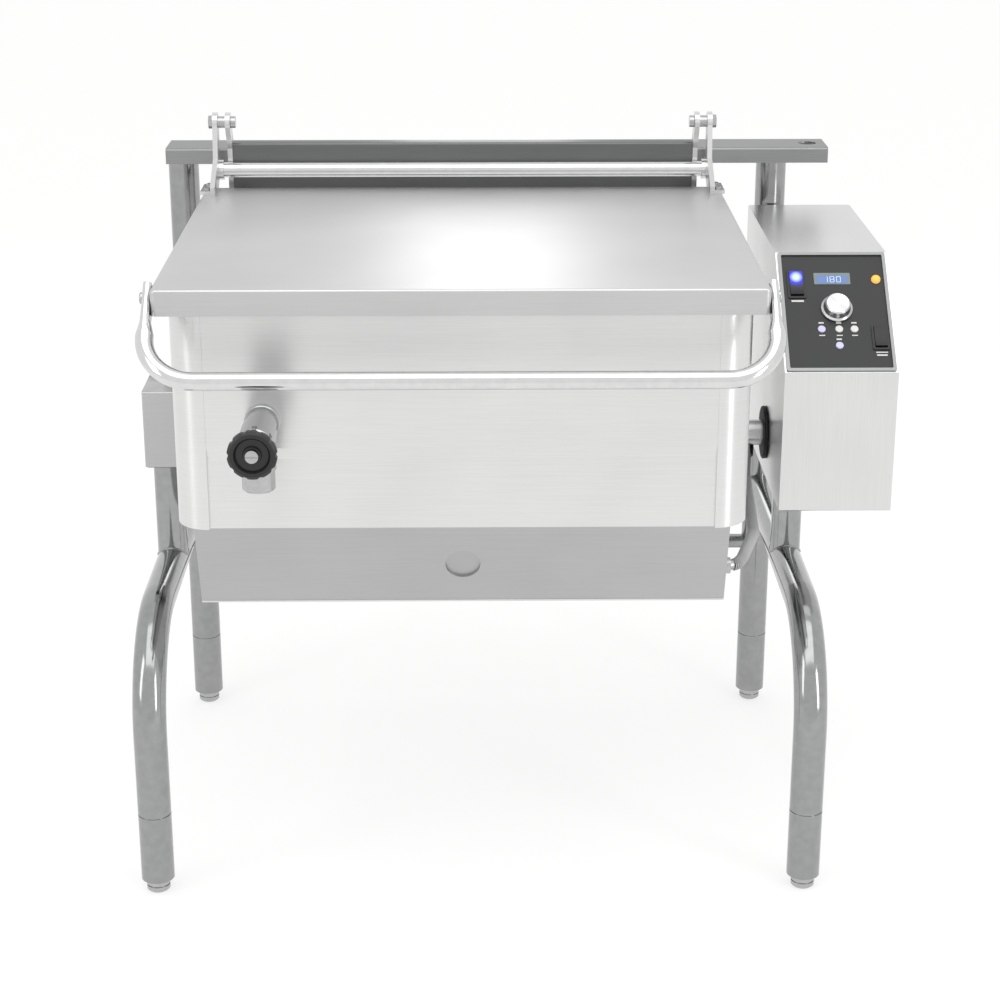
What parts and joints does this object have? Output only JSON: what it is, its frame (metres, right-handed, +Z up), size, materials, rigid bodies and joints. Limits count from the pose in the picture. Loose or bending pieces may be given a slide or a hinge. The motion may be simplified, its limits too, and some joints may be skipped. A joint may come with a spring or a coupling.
{
  "type": "bratt pan",
  "caption": "Tilting braising pan on a bent tube stand, with hinged lid, draw-off valve, tap rail and side control console.",
  "frame": {"origin": "middle of the footprint, on the floor", "axes": "+X to the operator's right, +Y to the back, +Z up"},
  "size_m": [1.161, 0.9908, 1.096],
  "materials": {
    "brushed_stainless": "brushed stainless sheet",
    "polished_stainless": "polished stainless tube and castings",
    "bead_blasted_stainless": "blasted pan interior and plates",
    "black_rubber": "moulded rubber",
    "black_phenolic": "moulded phenolic",
    "dark_panel": "dark laminated control plate",
    "display_glass": "display window",
    "blue_lens": "lit switch lens",
    "amber_lens": "signal lamp lens",
    "spun_aluminium": "spun",
    "bearing_bronze": "turned",
    "painted_casting": "painted",
    "circuit_board": "lacquered",
    "white_plastic": "moulded"
  },
  "bodies": {
    "stand": {"bent_legs": "polished_stainless", "rear_legs": "polished_stainless", "bearing_posts": "polished_stainless", "leg_sockets": "polished_stainless", "rear_rail": "brushed_stainless", "rear_stretcher": "polished_stainless", "left_bearing": "painted_casting", "left_bearing_bush": "bearing_bronze", "left_trunnion_cover": "brushed_stainless", "shaft_seal": "black_rubber", "console_shell": "brushed_stainless", "console_rear_cover": "brushed_stainless", "drive_gearbox": "painted_casting", "tilt_motor": "painted_casting", "contactors": "white_plastic", "supply_gland": "black_phenolic", "control_panel": "dark_panel", "panel_bezel": "brushed_stainless", "display": "display_glass", "signal_lamp": "amber_lens", "switch_frames": "black_phenolic", "control_board": "circuit_board"},
    "pan": {"left_trunnion_shaft": "polished_stainless", "right_trunnion_shaft": "polished_stainless", "hub_plates": "brushed_stainless", "pan_jacket": "brushed_stainless", "braising_pan": "bead_blasted_stainless", "heating_elements": "bead_blasted_stainless", "element_clamps": "bead_blasted_stainless", "heater_box": "brushed_stainless", "heater_cover": "brushed_stainless", "port_plug": "brushed_stainless", "flange_bolts": "polished_stainless", "conduit": "polished_stainless", "hinge_brackets": "brushed_stainless", "hinge_channel": "brushed_stainless", "valve_body": "polished_stainless", "valve_nuts": "polished_stainless"},
    "lid": {"lid_cover": "brushed_stainless", "lid_stiffeners": "brushed_stainless", "lid_pads": "black_rubber", "lid_handle": "polished_stainless", "lid_bolts": "polished_stainless", "hinge_arms": "brushed_stainless", "brace_tube": "polished_stainless", "hinge_pins": "polished_stainless"},
    "valve_stem": {"valve_stem": "polished_stainless", "valve_disc": "black_rubber"},
    "valve_handwheel": {"valve_handwheel": "black_phenolic"},
    "thermostat_knob": {"thermostat_knob": "spun_aluminium"},
    "power_rocker": {"power_switch_rocker": "blue_lens"},
    "tilt_rocker": {"tilt_switch_rocker": "black_phenolic"},
    "front_left_foot": {"front_left_foot": "polished_stainless"},
    "rear_left_foot": {"rear_left_foot": "polished_stainless"},
    "front_right_foot": {"front_right_foot": "polished_stainless"},
    "rear_right_foot": {"rear_right_foot": "polished_stainless"},
    "push_button_1": {"push_button_1": "white_plastic"},
    "push_button_2": {"push_button_2": "white_plastic"},
    "push_button_3": {"push_button_3": "white_plastic"},
    "push_button_4": {"push_button_4": "white_plastic"}
  },
  "joints": [
    {"name": "pan_tilt", "type": "hinge", "parent": "stand", "child": "pan", "pos_m": [-0.0765, 0.08105, 0.63], "axis": [1, 0, 0], "range_deg": [0, 90]},
    {"name": "lid_open", "type": "hinge", "parent": "pan", "child": "lid", "pos_m": [-0.0765, 0.37105, 1.08], "axis": [-1, 0, 0], "range_deg": [0, 80]},
    {"name": "valve_stem_slide", "type": "slide", "parent": "pan", "child": "valve_stem", "axis": [0, -1, 0], "range_m": [0, 0.016]},
    {"name": "valve_wheel_turn", "type": "hinge", "parent": "valve_stem", "child": "valve_handwheel", "pos_m": [-0.3565, -0.47895, 0.783], "axis": [0, -1, 0], "range_deg": [0, 720]},
    {"name": "thermostat_turn", "type": "hinge", "parent": "stand", "child": "thermostat_knob", "pos_m": [0.4954, -0.02132, 0.85988], "axis": [0, 0.67, -0.7424], "range_deg": [0, 300]},
    {"name": "power_rock", "type": "hinge", "parent": "stand", "child": "power_rocker", "pos_m": [0.437, 0.0135, 0.88995], "axis": [1, 0, 0], "range_deg": [0, 8]},
    {"name": "tilt_rock", "type": "hinge", "parent": "stand", "child": "tilt_rocker", "pos_m": [0.558, -0.05888, 0.82463], "axis": [1, 0, 0], "range_deg": [-8, 8], "stiffness_Nm_per_rad": 0.3},
    {"name": "front_left_foot_screw", "type": "slide", "parent": "stand", "child": "front_left_foot", "axis": [0, 0, -1], "range_m": [0, 0.02]},
    {"name": "rear_left_foot_screw", "type": "slide", "parent": "stand", "child": "rear_left_foot", "axis": [0, 0, -1], "range_m": [0, 0.02]},
    {"name": "front_right_foot_screw", "type": "slide", "parent": "stand", "child": "front_right_foot", "axis": [0, 0, -1], "range_m": [0, 0.02]},
    {"name": "rear_right_foot_screw", "type": "slide", "parent": "stand", "child": "rear_right_foot", "axis": [0, 0, -1], "range_m": [0, 0.02]},
    {"name": "push_button_1_press", "type": "slide", "parent": "stand", "child": "push_button_1", "axis": [0, 0.67, -0.7424], "range_m": [0, 0.0015], "stiffness_N_per_m": 400},
    {"name": "push_button_2_press", "type": "slide", "parent": "stand", "child": "push_button_2", "axis": [0, 0.67, -0.7424], "range_m": [0, 0.0015], "stiffness_N_per_m": 400},
    {"name": "push_button_3_press", "type": "slide", "parent": "stand", "child": "push_button_3", "axis": [0, 0.67, -0.7424], "range_m": [0, 0.0015], "stiffness_N_per_m": 400},
    {"name": "push_button_4_press", "type": "slide", "parent": "stand", "child": "push_button_4", "axis": [0, 0.67, -0.7424], "range_m": [0, 0.0015], "stiffness_N_per_m": 400}
  ],
  "couplings": [
    {"joint": "valve_wheel_turn", "follows": "valve_stem_slide", "rad_per_m": 785.39}
  ]
}
